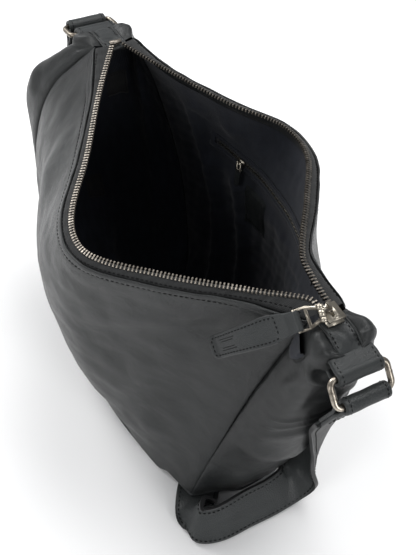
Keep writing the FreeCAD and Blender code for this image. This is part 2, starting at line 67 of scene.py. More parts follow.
# ---- outlines of the body's outer face
SEAM_FRONT_RIGHT = [
    (114, -56, 4), (115, -49, 40), (119, -38, 90), (127, -27, 150), (138, -18, 205), (152, -14, 255)]
SEAM_FRONT_LEFT = [
    (-112, -68, 4), (-132, -72, 50), (-160, -69, 110), (-178, -62, 165), (-174, -48, 215), (-157, -17, 256)]
SEAM_BACK_RIGHT = [
    (98, 54, 4), (106, 51, 40), (118, 43, 90), (131, 35, 150), (144, 26, 205), (152, 14, 255)]
SEAM_BACK_LEFT = [
    (-106, 62, 4), (-122, 66, 50), (-140, 64, 110), (-156, 54, 165), (-162, 38, 215), (-157, 17, 256)]
RIM_FRONT = [
    (-157, -17, 256), (-113, -40, 246), (-62, -73, 236), (-8, -109, 232), (34, -113, 236), (78, -79, 242),
    (118, -38, 249), (152, -14, 255)]
RIM_BACK = [
    (-157, 17, 256), (-118, 28, 252), (-60, 58, 248), (-20, 82, 247), (20, 80, 249), (64, 52, 253),
    (108, 18, 257), (152, 14, 255)]
RIM_RIGHT = [(152, -14, 255), (171, -22, 247), (180, 0, 246), (171, 24, 247), (152, 14, 255)]
RIM_LEFT = [(-157, -17, 256), (-178, -26, 248), (-184, 0, 246), (-176, 24, 248), (-157, 17, 256)]
EDGE_FRONT = [(-112, -68, 4), (-60, -76, 2), (0, -76, 2), (60, -68, 2), (114, -56, 4)]
EDGE_BACK = [(-106, 62, 4), (0, 66, 2), (98, 54, 4)]
EDGE_RIGHT = [(114, -56, 4), (123, -18, 2), (117, 26, 2), (98, 54, 4)]
EDGE_LEFT = [(-112, -68, 4), (-124, -20, 2), (-120, 30, 2), (-106, 62, 4)]
CHAIN_FRONT = [
    (-150, -CHAIN_HALF_GAP, 259), (-110, -34, 249), (-58, -67, 240), (-5, -102, 236), (32, -106, 240),
    (73, -73, 246), (112, -33, 253), (131, -12.5, 257.5), (139, -5.6, 259.3),
    (145, -CHAIN_HALF_GAP, CHAIN_Z), (152, -CHAIN_HALF_GAP, CHAIN_Z)]
CHAIN_BACK = [
    (-150, CHAIN_HALF_GAP, 259), (-115, 22, 255), (-56, 51, 252), (-19, 75, 251), (17, 73, 253),
    (60, 45, 257), (106, 11, 260), (127, 6, 260), (139, 4.8, 259.6), (145, CHAIN_HALF_GAP, CHAIN_Z),
    (152, CHAIN_HALF_GAP, CHAIN_Z)]
STRAP_STATIONS = [
    ((184.4, .2, 191.5), (0, 1, 0)), ((180.5, 1.5, 181), (-.05, 1, 0)), ((171.5, 9, 160), (-.22, .96, .05)),
    ((159, 22, 122), (-.4, .9, .05)), ((144, 38, 72), (-.6, .78, .2)), ((140.5, 38, 44), (-.78, .6, .15)),
    ((143.8, 23, 22.5), (-.66, .16, .72)), ((146.3, 2, 18), (-.54, .02, .84)),
    ((147, -22, 17.9), (-.5, 0, .86)), ((148, -50, 17.9), (-.42, 0, .9)),
    ((142.5, -64.5, 18.3), (-.3, .2, .93)), ((131.5, -63, 17), (.1, .38, .92)),
    ((121, -55, 9.4), (.5, .8, .32)), ((105, -42.5, 4.4), (.68, .73, 0)), ((70, 0, 4), (.8, .6, 0)),
    ((30, 55, 4), (.8, .6, 0)), ((0, 96, 5), (.75, .66, 0)), ((-50, 124, 20), (.4, .9, .1)),
    ((-124, 120, 76), (.1, .99, .1)), ((-182, 84, 126), (0, .99, .05)), ((-209, 36, 162), (0, 1, 0)),
    ((-213.4, 3, 186), (0, 1, 0)), ((-214, 0, 200), (0, 1, 0))]
TONGUE_HALF = 8.5  # half width of the strip between a ring's loop and the zip's end
STRAP_SPLIT = 0.52  # share of the strap's length, under the base, where its two modelled halves meet


# ---- maths on arrays of points
def vec(*p):
    return np.array(p, float)


def unit(a):
    a = np.asarray(a, float)
    return a / np.maximum(np.linalg.norm(a, axis=-1, keepdims=True), 1e-12)


def square(a, way):
    """a's part square to the unit vectors way, brought to length 1."""
    return unit(a - way * np.sum(a * way, axis=-1, keepdims=True))


SIDEWAYS, UP = vec(0, 1, 0), vec(0, 0, 1)


def even(count):
    """count numbers spread evenly from 0 to 1."""
    return np.linspace(0, 1, count)


def grid(columns, rows, us=(0, 1), vs=(0, 1)):
    """A grid of (u, v) over the spans us and vs."""
    return np.meshgrid(np.linspace(*us, columns), np.linspace(*vs, rows))


def nearer(u):
    """The distance from u to the nearer of 0 and 1."""
    return np.minimum(u, 1 - u)


def bump(x, centre, width):
    return np.exp(-((x - centre) / width) ** 2)


def smooth(x):
    x = np.clip(x, 0, 1)
    return x * x * (3 - 2 * x)


def spline(points, t):
    """Points at shares t of the smooth curve through points, spaced by chord length."""
    p = np.array(points, float)
    reach = np.concatenate([[0], np.cumsum(np.linalg.norm(np.diff(p, axis=0), axis=1))])
    x = np.clip(t, 0, 1) * reach[-1]
    k = np.clip(np.searchsorted(reach, x, side="right") - 1, 0, len(p) - 2)
    lo = np.maximum(np.arange(len(p)) - 1, 0)
    hi = np.minimum(np.arange(len(p)) + 1, len(p) - 1)
    slope = (p[hi] - p[lo]) / (reach[hi] - reach[lo])[:, None]
    h = (reach[k + 1] - reach[k])[..., None]
    s = (x - reach[k])[..., None] / h
    return ((2 * s ** 3 - 3 * s ** 2 + 1) * p[k] + (s ** 3 - 2 * s ** 2 + s) * h * slope[k]
            + (3 * s ** 2 - 2 * s ** 3) * p[k + 1] + (s ** 3 - s ** 2) * h * slope[k + 1])


def ripple(p, size, seed, waves=7):
    """Smooth irregular values of about -1 to 1 at points p, with features about size across."""
    rng = np.random.RandomState(seed)
    total = 0
    for _ in range(waves):
        direction = unit(rng.normal(size=3))
        total += np.sin(p @ direction * (2 * math.pi / size) * rng.uniform(.6, 1.5)
                               + rng.uniform(0, 2 * math.pi))
    return total / math.sqrt(waves)


def along_grid(p, axis):
    """Distance run along one axis of a grid of points."""
    step = np.linalg.norm(np.diff(p, axis=axis), axis=-1)
    zero = np.zeros_like(np.take(step, [0], axis=axis))
    return np.cumsum(np.concatenate([zero, step], axis=axis), axis=axis)


def normals(p, outside):
    """Unit normals of a grid of points, turned to the side that the vectors outside point to."""
    n = unit(np.cross(np.gradient(p, axis=0), np.gradient(p, axis=1)))
    side = np.sign(np.sum(n * outside, axis=-1, keepdims=True))
    return n * np.where(side == 0, 1, side)


def graded(count, edge, lead=.02):
    """count steps from 0 to 1, with edge extra steps packed in at both ends."""
    near = lead * (np.arange(edge) / edge) ** 1.5
    return np.concatenate([near, np.linspace(lead, 1 - lead, count), 1 - near[::-1]])


# ---- the body's surfaces, as in the CAD
def arch(x, y):
    (x0, y0), (x1, y1) = CHANNEL_LINE
    away = np.abs((x - x0) * (y1 - y0) - (y - y0) * (x1 - x0)) / math.hypot(x1 - x0, y1 - y0)
    return CHANNEL * smooth(1 - (away - CHANNEL_HALF) / CHANNEL_FADE)


def coons(left_edge, right_edge, low, high, u, v):
    a, b, c, d = spline(left_edge, v), spline(right_edge, v), spline(low, u), spline(high, u)
    u, v = u[..., None], v[..., None]
    corner = [vec(*low[0]), vec(*low[-1]), vec(*high[0]), vec(*high[-1])]
    return ((1 - u) * a + u * b + (1 - v) * c + v * d - (1 - u) * (1 - v) * corner[0]
            - u * (1 - v) * corner[1] - (1 - u) * v * corner[2] - u * v * corner[3])


def shifted(p, x, y, v):
    """p moved level by x and y, its foot raised where the base arches."""
    x, y = p[..., 0] + x, p[..., 1] + y
    return np.stack([x, y, p[..., 2] + arch(x, y) * np.maximum(0, 1 - v * 5) ** 2], axis=-1)


def front(u, v):
    p = coons(SEAM_FRONT_LEFT, SEAM_FRONT_RIGHT, EDGE_FRONT, RIM_FRONT, u, v)
    return shifted(p, 0, -9 * 16 * u * (1 - u) * v * (1 - v), v)


def back(u, v):
    p = coons(SEAM_BACK_LEFT, SEAM_BACK_RIGHT, EDGE_BACK, RIM_BACK, u, v)
    belly = 5 * bump(u, .22, .2) * 4 * v * (1 - v) * smooth(u / .15)
    shoulder = 13 * bump(u, .83, .11) * bump(v, .8, .14) * (1 - v ** 8) * smooth((1 - u) / .1)
    hollow = 14 * bump(u, .49, .16) * bump(v, .76, .2) * (1 - v ** 8)
    return shifted(p, 0, belly + shoulder - hollow, v)


def right(u, v):
    p = coons(SEAM_FRONT_RIGHT, SEAM_BACK_RIGHT, EDGE_RIGHT, RIM_RIGHT, u, v)
    fullness = np.sin(math.pi * u) * 4 * v * (1 - v)
    return shifted(p, 9 * fullness, 5 * (u - .5) * fullness, v)


def left(u, v):
    p = coons(SEAM_FRONT_LEFT, SEAM_BACK_LEFT, EDGE_LEFT, RIM_LEFT, u, v)
    fullness = np.maximum(np.sin(math.pi * u), 0) ** .6 * np.maximum(4 * v * (1 - v), 0) ** .7
    lobe = bump(u, .2, .2) * bump(v, .78, .2) * fullness
    return shifted(p, -12 * fullness - 16 * lobe, 16 * (u - .5) * fullness - 13 * lobe, v)


def inward(p):
    """Level vectors of length 1 towards the body's spine."""
    x = np.clip(p[..., 0], -CORE_HALF, CORE_HALF)
    return unit(np.stack([x - p[..., 0], -p[..., 1], np.zeros_like(x)], axis=-1))


def bottom(u, v):
    return coons(EDGE_LEFT, EDGE_RIGHT, EDGE_FRONT, EDGE_BACK, u, v)


def inset(p, distance):
    return p + inward(p) * distance


# ---- mesh helpers
def add_object(name, data):
    piece = bpy.data.objects.new(name, data)
    scene.collection.objects.link(piece)
    return piece


def make(name, points, faces, uv, material, smooth_faces=True):
    """A mesh object from points in millimetres; uv holds one pair per point."""
    mesh = bpy.data.meshes.new(name)
    mesh.from_pydata((np.asarray(points) * MM).tolist(), [], [tuple(f) for f in faces])
    if uv is not None:
        layer = mesh.uv_layers.new(name="UVMap")
        index = np.zeros(len(mesh.loops), int)
        mesh.loops.foreach_get("vertex_index", index)
        layer.data.foreach_set("uv", (np.asarray(uv, float)[index]).astype(np.float32).ravel())
    mesh.validate()
    if smooth_faces:
        mesh.polygons.foreach_set("use_smooth", [True] * len(mesh.polygons))
    mesh.materials.append(material)
    return add_object(name, mesh)


def grid_faces(rows, columns, closed=False):
    last = columns if closed else columns - 1
    return [(i + j, i + (j + 1) % columns, i + columns + (j + 1) % columns, i + columns + j)
            for i in range(0, (rows - 1) * columns, columns) for j in range(last)]


def sheet(name, p, material):
    """An open grid of points as one smooth sheet, with its lengths in millimetres as UV."""
    uv = np.stack([along_grid(p, 1), along_grid(p, 0)], axis=-1)
    return make(name, p.reshape(-1, 3), grid_faces(*p.shape[:2]), uv.reshape(-1, 2) * MM, material)


def frames_of(path, across):
    """Unit along, across and normal vectors for a path and its rough across directions."""
    along = unit(np.gradient(path, axis=0))
    across = square(across, along)
    return along, across, np.cross(across, along)


def rounded(width, thick, corner, steps=4):
    """Outline (w, t) of a rounded rectangle, anticlockwise."""
    points = []
    for cx, cy, start in ((1, 1, 0), (-1, 1, 90), (-1, -1, 180), (1, -1, 270)):
        for k in range(steps + 1):
            a = math.radians(start + 90 * k / steps)
            points.append((cx * (width / 2 - corner) + corner * math.cos(a),
                           cy * (thick / 2 - corner) + corner * math.sin(a)))
    return np.array(points)


def subdivide_outline(outline, longest=2.5):
    """The outline with long straight stretches cut into shorter ones."""
    points = []
    for a, b in zip(outline, np.roll(outline, -1, axis=0)):
        cuts = max(1, int(np.ceil(np.linalg.norm(b - a) / longest)))
        points += [a + (b - a) * k / cuts for k in range(cuts)]
    return np.array(points)


def sweep(name, path, across, outline, material, width_scale=None, caps=True, wave=None):
    """An outline (w, t) swept along a path; width_scale narrows it along the way."""
    path = np.asarray(path, float)
    _, side, normal = frames_of(path, across)
    outline = subdivide_outline(outline)
    scale = np.ones(len(path)) if width_scale is None else width_scale
    w = outline[:, 0] * scale[:, None]
    t = np.broadcast_to(outline[:, 1], w.shape)
    p = path[:, None] + side[:, None] * w[..., None] + normal[:, None] * t[..., None]
    if wave is not None:
        p = p + normal[:, None] * wave(p)[..., None]
    rows, columns = w.shape
    faces = grid_faces(rows, columns, closed=True)
    if caps:
        faces += [tuple(range(columns))[::-1], tuple(range((rows - 1) * columns, rows * columns))]
    run = along_grid(path, 0)
    uv = np.stack([w, np.broadcast_to(run[:, None], w.shape)], axis=-1)
    return make(name, p.reshape(-1, 3), faces, uv.reshape(-1, 2) * MM, material)


def repeat(name, template, faces, origins, xs, ys, zs, material, smooth_faces=True):
    """Copies of a template at origins, its axes along xs, ys and zs, as one mesh."""
    template = np.asarray(template, float)
    p = (origins[:, None] + template[None, :, 0, None] * xs[:, None]
         + template[None, :, 1, None] * ys[:, None] + template[None, :, 2, None] * zs[:, None])
    count = len(template)
    copies = [tuple(i + k * count for i in f) for k in range(len(origins)) for f in faces]
    uv = np.tile(template[:, :2] * MM, (len(origins), 1))
    return make(name, p.reshape(-1, 3), copies, uv, material, smooth_faces)


def stitch_template(length, radius):
    """One thread stitch: a plump strand that dips into the leather at both ends."""
    rings, sides = 7, 6
    points = []
    for share in even(rings):
        end = (2 * share - 1) ** 4
        fat, dip = radius * math.sqrt(max(1 - end, .02)), radius * 1.2 * end
        points += [((share - .5) * length, fat * math.cos(a), fat * math.sin(a) - dip)
                   for a in 2 * math.pi * np.arange(sides) / sides]
    return points, grid_faces(rings, sides, closed=True)


def join(name, pieces):
    """Several meshes as one object that keeps their materials."""
    bpy.ops.object.select_all(action="DESELECT")
    for piece in pieces:
        piece.select_set(True)
    bpy.context.view_layer.objects.active = pieces[0]
    bpy.ops.object.join()
    pieces[0].name = name
    pieces[0].data.name = name
    return pieces[0]


def place(piece, *nodes, body="bag", finish="leather", bend=None):
    """Puts a piece on its body, or, when bend is given, bakes its transform into its mesh and leaves it
    unparented; hides its CAD nodes.
    """
    if bend:
        start, end = (tuple(vec(*spot) * MM) for spot in bend)
        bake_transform(piece)
    else:
        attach(piece, body)
    if nodes:
        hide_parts(*nodes)
    return piece


def strip(name, path, across, size, material, *nodes, width=None, wave=None, caps=True, **where):
    """A swept piece with a rounded outline, put in place."""
    return place(sweep(name, path, across, rounded(*size), material, width, caps, wave), *nodes, **where)


def sew(name, path, normal, pitch, length, radius, **where):
    """A row of stitches along a path that lies on the leather; normal points out of it."""
    run = along_grid(path, 0)
    count = max(2, int(run[-1] / pitch))
    stops = (np.arange(count) + .5) * run[-1] / count
    at, out = (np.stack([np.interp(stops, run, column) for column in np.broadcast_to(of, path.shape).T],
                        axis=-1) for of in (path, normal))
    way = unit(np.gradient(at, axis=0))
    out = square(unit(out), way)
    at += out * (radius * .35 - STITCH_SINK)
    points, faces = stitch_template(length, radius)
    return place(repeat(name, points, faces, at, way, np.cross(out, way), out, THREAD), **where)


# ---- materials
class Nodes:
    """A material under construction, with short calls for the nodes used here."""
    def __init__(self, name):
        self.material = bpy.data.materials.new(name)
        self.material.use_nodes = True
        self.tree = self.material.node_tree
        self.tree.nodes.clear()
        self.shader = self.add("BsdfPrincipled")
        self.add("OutputMaterial", {0: self.shader.outputs[0]})
        self.spaces = self.add("TexCoord").outputs

    def put(self, socket, value):
        if isinstance(value, bpy.types.NodeSocket):
            self.tree.links.new(value, socket)
        else:
            socket.default_value = value

    def add(self, kind, inputs=(), **settings):
        """A new node; inputs maps its sockets, by name or number, to values or to other nodes' sockets."""
        node = self.tree.nodes.new("ShaderNode" + kind)
        for key, value in settings.items():
            setattr(node, key, value)
        for key, value in dict(inputs).items():
            self.put(node.inputs[key], value)
        return node

    def set(self, **values):
        for key, value in values.items():
            self.put(self.shader.inputs[key.replace("_", " ")], value)

    def stretched(self, scale, space="Object"):
        return self.add("Mapping", {"Vector": self.spaces[space], "Scale": scale}).outputs[0]

    def noise(self, scale, detail=3, roughness=.55, vector=None, distortion=0):
        inputs = {"Vector": vector or self.spaces["Object"], "Scale": scale, "Detail": detail,
                  "Roughness": roughness, "Distortion": distortion}
        return self.add("TexNoise", inputs).outputs["Fac"]

    def cells(self, scale, feature="F1"):
        node = self.add("TexVoronoi", {"Vector": self.spaces["Object"], "Scale": scale}, feature=feature)
        return node.outputs["Distance"]

    def waves(self, scale, direction, vector):
        node = self.add("TexWave", {"Vector": vector, "Scale": scale}, bands_direction=direction)
        return node.outputs["Fac"]

    def maths(self, operation, a, b):
        return self.add("Math", {0: a, 1: b}, operation=operation).outputs[0]

    def plus(self, a, b, share):
        """a and a share of b."""
        return self.maths("ADD", a, self.maths("MULTIPLY", b, share))

    def remap(self, value, low, high, to_low=0, to_high=1):
        return self.add("MapRange", enumerate((value, low, high, to_low, to_high))).outputs[0]

    def blend(self, share, low, high):
        low, high = (c if isinstance(c, bpy.types.NodeSocket) else (*c, 1) for c in (low, high))
        return self.add("Mix", {0: share, 6: low, 7: high}, data_type="RGBA").outputs[2]

    def bump(self, height, distance, strength=1, before=None):
        inputs = {"Distance": distance, "Strength": strength, "Height": height}
        return self.add("Bump", {**inputs, "Normal": before} if before else inputs).outputs[0]

    def edge_wear(self):
        """1 on sharp outer edges, 0 elsewhere."""
        return self.remap(self.add("NewGeometry").outputs["Pointiness"], .52, .60)


def tinted(colour, times):
    return tuple(c * times for c in colour)


def leather(name, grain, depth, shine, tone=1, crease=.5):
    """Dyed black leather: fine cells, pores, soft creases, and a satin finish that varies."""
    m = Nodes(name)
    drift = m.noise(9, 4, .6)
    mottled = m.noise(70, 5, .65)
    border = m.remap(m.cells(grain, "DISTANCE_TO_EDGE"), 0, .12)
    pores = m.remap(m.cells(grain * 2.3), .05, .3)
    crumple = m.remap(m.noise(38, 6, .62, distortion=.6), .42, .56)
    dark, light, rubbed = (tinted(c, tone) for c in ((.0075, .0085, .0088), (.0165, .0185, .0188),
                                                     (.034, .037, .037)))
    colour = m.blend(m.remap(m.plus(drift, mottled, .5), .55, 1), dark, light)
    worn = m.blend(m.maths("MULTIPLY", m.edge_wear(), .5), colour, rubbed)
    roughness = m.maths("ADD", m.remap(mottled, .3, .7, shine - .05, shine + .07),
                        m.remap(border, 0, 1, .10, 0))
    relief = m.bump(m.plus(m.maths("MULTIPLY", border, .7), pores, .3), depth * MM)
    relief = m.bump(m.plus(crumple, m.cells(grain), .2), crease * MM, .5, relief)
    relief = m.bump(drift, 3 * MM, .35, relief)
    m.set(Base_Color=worn, Roughness=roughness, Normal=relief, Specular_IOR_Level=.30, Sheen_Weight=.03,
          Sheen_Roughness=.4, Coat_Weight=.08, Coat_Roughness=.28)
    return m.material


def woven(name, thread, low, high, depth, weft="Y", sheen=.25):
    """Woven cloth: warp and weft threads at a real pitch (millimetres), slub and soft fuzz."""
    m = Nodes(name)
    place, scale = m.stretched((1, 1, 1), "UV"), 1 / (thread * MM) / 20 * math.pi
    weave = m.maths("MULTIPLY", m.waves(scale, "X", place), m.waves(scale, weft, place))
    slub = m.noise(220, 4, .7, m.stretched((1, .25, 1), "UV"))
    share = m.remap(m.plus(m.maths("MULTIPLY", weave, .6), slub, .7), .3, .95)
    shade = m.remap(m.noise(12, 4, .6), .3, .7, .82, 1.12)
    shaded = m.add("VectorMath", {0: m.blend(share, low, high), "Scale": shade}, operation="SCALE")
    relief = m.bump(weave, depth * MM, .9)
    relief = m.bump(m.noise(45, 5, .6, distortion=.4), .9 * MM, .5, relief)
    m.set(Base_Color=shaded.outputs[0], Roughness=.86, Normal=relief, Sheen_Weight=sheen,
          Sheen_Roughness=.5, Specular_IOR_Level=.25)
    return m.material


def thread_material(name, colour):
    """Twisted sewing thread with a slight lustre."""
    m = Nodes(name)
    twist = m.waves(900, "DIAGONAL", m.spaces["Object"])
    m.set(Base_Color=m.blend(m.remap(m.noise(300), .3, .7), colour, tinted(colour, 1.7)), Roughness=.75,
          Normal=m.bump(twist, .06 * MM), Specular_IOR_Level=.15)
    return m.material


def metal(name, base, dark, roughness=.3):
    """Antique plated metal: darker patches at random, rubbed brighter edges, fine scratches."""
    m = Nodes(name)
    cloud = m.noise(160, 5, .6)
    scratch = m.noise(900, 3, .6, m.stretched((1, .12, 1)))
    colour = m.blend(m.remap(m.plus(cloud, scratch, .25), .45, .8), base, dark)
    rough = m.remap(m.plus(cloud, scratch, .4), .4, .9, roughness - .07, roughness + .16)
    m.set(Base_Color=m.blend(m.edge_wear(), colour, tinted(base, 1.5)), Metallic=1, Roughness=rough,
          Normal=m.bump(scratch, .03 * MM, .7))
    return m.material


def edge_paint(name):
    """Painted leather edge: thicker, smoother black with tiny runs."""
    m = Nodes(name)
    m.set(Base_Color=m.blend(m.noise(120), (.012, .012, .013), (.03, .03, .031)), Roughness=.45,
          Normal=m.bump(m.noise(700, 3), .12 * MM, .7), Coat_Weight=.1)
    return m.material


NAPPA = leather("nappa_leather", 1150, .12, .38)
STRAP_LEATHER = leather("strap_leather", 560, .34, .46, tone=1.9, crease=.25)
TRIM_LEATHER = leather("trim_leather", 760, .2, .42, tone=1.8, crease=.25)
BACKING_LEATHER = leather("backing_leather", 480, .30, .55, tone=1.1, crease=.9)
LINING_CLOTH = woven("lining_cotton", .42, (.0090, .0105, .0156), (.0285, .033, .045), .12, "DIAGONAL", .12)
TAPE_CLOTH = woven("zip_tape_cloth", .6, (.006, .0065, .0068), (.026, .0275, .028), .22, sheen=.15)
LABEL_CLOTH = woven("label_cloth", .35, (.012, .012, .013), (.03, .03, .032), .08)
THREAD = thread_material("black_thread", (.0022, .0022, .0024))
ANTIQUE = metal("antique_nickel", (.50, .45, .38), (.10, .085, .068), .26)
ANTIQUE_BRIGHT = metal("rubbed_nickel", (.30, .275, .23), (.11, .095, .078), .27)
TOOTH_METAL = metal("tooth_metal", (.20, .18, .155), (.055, .05, .044), .4)
EDGE_PAINT = edge_paint("edge_paint")


# ---- leather body
def soft_fold(u, v, size, u0, v0, u1, v1, width, depth):
    """A crease between two (u, v) places, as a displacement; width in millimetres, fading at both ends."""
    a, b = np.multiply((u0, v0), size), np.multiply((u1, v1), size)
    way = b - a
    x, y = u * size[0] - a[0], v * size[1] - a[1]
    t = (x * way[0] + y * way[1]) / (way @ way)
    away = (x * way[1] - y * way[0]) / np.linalg.norm(way)
    away += 3 * np.sin(3.1 * t + u0 * 9)
    fade = smooth(nearer(t) / .35)
    return depth * fade * (bump(away, 0, width) - .45 * bump(away, width * 1.7, width * 1.2))


def rolled_ear(u, v, size, centre):
    """The rolled fold that curls round the foot of a ring's loop, at (u, v) centre."""
    x, y = (u - centre[0]) * size[0], (v - centre[1]) * size[1]
    away, angle = np.hypot(x, y), np.arctan2(y, x)
    below = smooth(.5 - .8 * np.cos(angle - math.pi / 2))
    return below * (3.5 * bump(away, 13, 4) - 3 * bump(away, 6, 4))


def panel_relief(p, u, v, size, folds, seed, ear=None):
    """How far a sewn leather panel stands off its drawn surface."""
    from_left = along_grid(p, 1)
    seam = np.minimum(from_left, from_left[:, -1:] - from_left)
    drop = along_grid(p, 0)
    from_rim = drop[-1:] - drop
    relief = -1.3 * np.exp(-seam / 1.1) + .55 * bump(seam, 7, 5) + .9 * bump(seam, 26, 18)
    relief = relief - .35 * bump(from_rim, 5, 1.2) + .3 * bump(from_rim, 2, 2)
    pucker = np.sin(drop / 4.6 + 2 * ripple(p, 60, seed + 3)) * np.exp(-seam / 7)
    gather = np.sin(from_left / 5.2 + 2 * ripple(p, 70, seed + 4)) * np.exp(-from_rim / 8)
    relief += .28 * pucker + .16 * gather
    calm = smooth(seam / 25) * smooth(from_rim / 30)
    relief += calm * (.95 * ripple(p, 85, seed) + .35 * ripple(p, 34, seed + 1))
    relief += .10 * ripple(p, 13, seed + 2)
    for fold in folds:
        relief += soft_fold(u, v, size, *fold)
    if ear:
        relief += rolled_ear(u, v, size, ear)
    return relief


def leather_panel(name, surface, size, folds, seed, columns=170, rows=130, top=True, ear=None):
    """A leather wall: drawn surface with relief, edges turned in at the seams, rim turned over into a hem."""
    u, v = np.meshgrid(.0015 + .997 * graded(columns, 9), graded(rows, 7))
    flat = surface(u, v)
    out = normals(flat, -inward(flat))
    relief = panel_relief(flat, u, v, size, folds, seed, ear)
    if not top:
        drop = along_grid(flat, 0)
        relief = relief * smooth((drop[-1:] - drop) / 14)
    p = flat + out * relief[..., None]
    first, last = p[:, :1], p[:, -1:]
    p = np.concatenate([inset(first, SEAM_IN), inset(first, .9), p, inset(last, .9), inset(last, SEAM_IN)], axis=1)
    rows_in = [inset(p[:1], 5), inset(p[:1], 1)]
    over = []
    if top:
        rim, way = p[-1:], inward(p[-1:])
        for k in range(1, 8):
            a = math.pi * k / 7
            over.append(rim + way * HEM * (1 - math.cos(a)) * .8 + UP * HEM * math.sin(a))
        over.append(over[-1] + vec(0, 0, -6))
    return sheet(name, np.concatenate(rows_in + [p] + over, axis=0), NAPPA)


FRONT_SIZE, BACK_SIZE, END_SIZE = (300, 245), (290, 250), (110, 250)
FRONT_FOLDS = [
    (.97, .93, .6, .55, 9, -1.6), (.99, .8, .7, .42, 12, 1.3), (.96, .6, .62, .18, 13, -1.3),
    (.2, .95, .34, .4, 16, 1.8), (.3, .98, .5, .5, 14, -1.4), (.05, .7, .3, .2, 15, -1.5),
    (.02, .4, .28, .06, 10, 1.3), (.88, .3, .55, .03, 11, 1.5), (.75, .22, .4, .05, 8, -1.2),
    (.12, .86, .1, .45, 10, 1.2)]
BACK_FOLDS = [
    (.04, .85, .35, .35, 14, 1.5), (.95, .88, .65, .4, 12, -1.4), (.5, .95, .55, .35, 16, -1.5),
    (.2, .45, .45, .08, 12, 1.4), (.8, .55, .6, .12, 13, 1.3)]
RIGHT_FOLDS = [
    (.5, 1, .3, .62, 5, -1.3), (.62, 1, .7, .66, 5, -1.4), (.35, .98, .12, .72, 4.5, 1.2),
    (.05, .585, .98, .7, 2.3, 1.5), (.1, .545, .98, .655, 2, 1.3), (.02, .5, .8, .575, 5, -1.8),
    (.05, .4, .75, .3, 12, 5), (.1, .26, .6, .1, 9, -1.8), (.3, .2, .8, .12, 6, 1.2),
    (.8, .84, .3, .74, 4.5, 1)]
LEFT_FOLDS = [
    (.5, .98, .25, .62, 7, -1.6), (.6, .98, .8, .6, 7, 1.4), (.2, .6, .5, .2, 9, 1.4),
    (.8, .7, .55, .3, 8, -1.4), (.3, .9, .08, .7, 5, 1.2)]


def end_cap(name, surface, centre, tip, heights):
    """The puffed top of an end: it rises from the rim, rolls over and dives in beside the tab's tongue."""
    u = even(130)
    rim = surface(u, np.ones_like(u))
    reach = np.clip((rim[:, 0] - centre) / (tip - centre), 0, 1)
    edge_y = np.sign(rim[:, 1]) * np.minimum(TONGUE_HALF - .4, np.abs(rim[:, 1]) * .55)
    edge_x = centre + reach * (tip - centre) * .93
    target = np.stack([edge_x, edge_y, np.interp(reach, (0, .75, 1), heights)], axis=-1)
    full = smooth(nearer(u) / .12) * (1 - .85 * bump(u, .5, .09))
    rise = (6 + 25 * full)[:, None] * UP - inward(rim) * (7 * full)[:, None]
    dive = (target - rim) * vec(1, 1, 0) * .9 - (4 + 21 * full)[:, None] * UP
    rows = []
    for s in even(40):
        h0, h1 = 2 * s ** 3 - 3 * s ** 2 + 1, s ** 3 - 2 * s ** 2 + s
        row = rim * h0 + rise * h1 + target * (1 - h0) + dive * (s ** 3 - s ** 2)
        pleat = .35 * np.sin(u * 52 + 3 * s) + .6 * np.sin(u * 21 + 2 + 4 * s)
        row[:, 2] += pleat * math.sin(math.pi * s) * full
        rows.append(row)
    return sheet(name, np.array(rows), NAPPA)


def body():
    """The leather walls, the puffed tops of the ends, the rims' topstitching, and the base."""
    for name, node, *wall in (
            ("front_panel", "front_panel", front, FRONT_SIZE, FRONT_FOLDS, 11, 230, 170),
            ("back_panel", "back_panel", back, BACK_SIZE, BACK_FOLDS, 23, 200, 150),
            ("right_end", "gusset_right", right, END_SIZE, RIGHT_FOLDS, 37, 150, 220, False, (.36, .965)),
            ("left_end", "gusset_left", left, END_SIZE, LEFT_FOLDS, 41, 110, 150, False)):
        place(leather_panel(name + "_leather", *wall), node)
    place(end_cap("right_end_fold", right, 152, 180, (253.5, 252, 247)))
    place(end_cap("left_end_fold", left, -157, -184, (254, 252, 247)))
    for name, surface, last in (("front", front, .97), ("back", back, .98)):
        u = np.linspace(.02, last, 400)
        p = surface(u, np.full_like(u, .981))
        sew(name + "_rim_stitching", inset(p, .1), -inward(p), 3.6, 2.6, .34)
    base()


def base():
    """The bottom panel, sewn in with a thin piping, over the strap's channel."""
    u, v = grid(120, 80)
    p = bottom(u, v) * vec(.992, .985, 1)
    edge = np.minimum(nearer(u) * 235, nearer(v) * 125)
    p[..., 2] = .5 + arch(p[..., 0], p[..., 1]) + 2.2 * np.exp(-edge / 2.5) + .25 * ripple(p, 40, 5)
    place(sheet("base_leather", p, NAPPA), "base_panel")
    edges = (EDGE_FRONT, EDGE_RIGHT, EDGE_BACK[::-1], EDGE_LEFT[::-1])
    loop = [spline(line, even(60)[:-1]) for line in edges]
    loop = np.concatenate(loop + [loop[0][:1]]) * vec(.996, .992, 1)
    loop[:, 2] = 2.6 + arch(loop[:, 0], loop[:, 1])
    strip("base_piping", loop, UP, (3, 3, 1.49, 3), TRIM_LEATHER, caps=False)


# ---- lining
def lining_relief(p, u, v, seed, deep):
    """Loose cotton: long soft folds that stand into the bag, more of them towards the floor."""
    low = 1 - v
    cloth = 1.9 * (1 + ripple(p * vec(1, 1, .45), 62, seed)) * smooth(low * 2.2)
    cloth += .7 * (1 + ripple(p * vec(1, 1, .7), 27, seed + 1)) * smooth(low * 1.6)
    cloth += .5 * ripple(p, 12, seed + 2) * smooth(low * 4)
    cloth += 12 * np.maximum(0, 1 - v / .16) ** 2
    for centre, lean, width, depth in deep:
        cloth += depth * bump(u, centre + lean * (1 - v), width) * smooth((1 - v) / .25)
    return cloth


